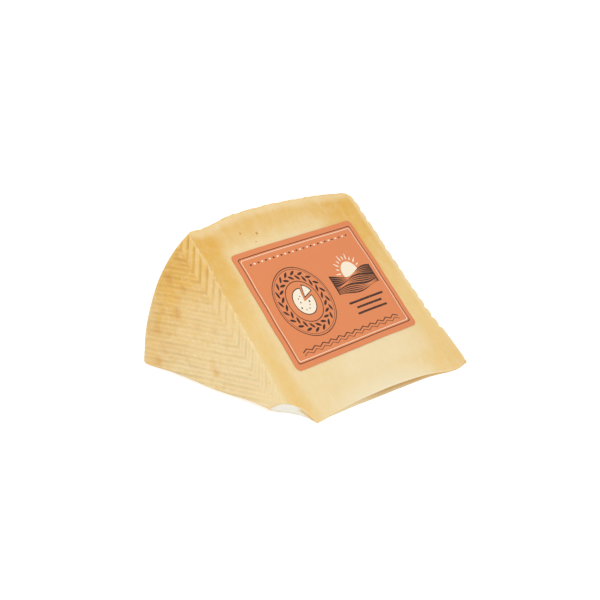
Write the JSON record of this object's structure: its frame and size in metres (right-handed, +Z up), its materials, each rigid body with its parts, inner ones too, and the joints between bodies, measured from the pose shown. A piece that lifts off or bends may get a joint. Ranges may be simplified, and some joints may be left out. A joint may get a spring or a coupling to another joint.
{
  "type": "semi-cured mixed-milk cheese wedge",
  "caption": "Wedge of a pressed cheese wheel with a ribbed moulded rind, lying on one cut face with a paper label on the other.",
  "frame": {"origin": "middle of the bounding box's bottom, on the surface that the wedge lies on", "axes": "+X along the wheel's axis and the wedge's nose, +Y from the nose to the rind's curved side, +Z up"},
  "size_m": [0.1078, 0.0962, 0.0669],
  "materials": {
    "cheese": "satin",
    "label_paper": "matte"
  },
  "bodies": {
    "root": {"cheese_wedge": "cheese", "label": "label_paper"}
  },
  "joints": []
}
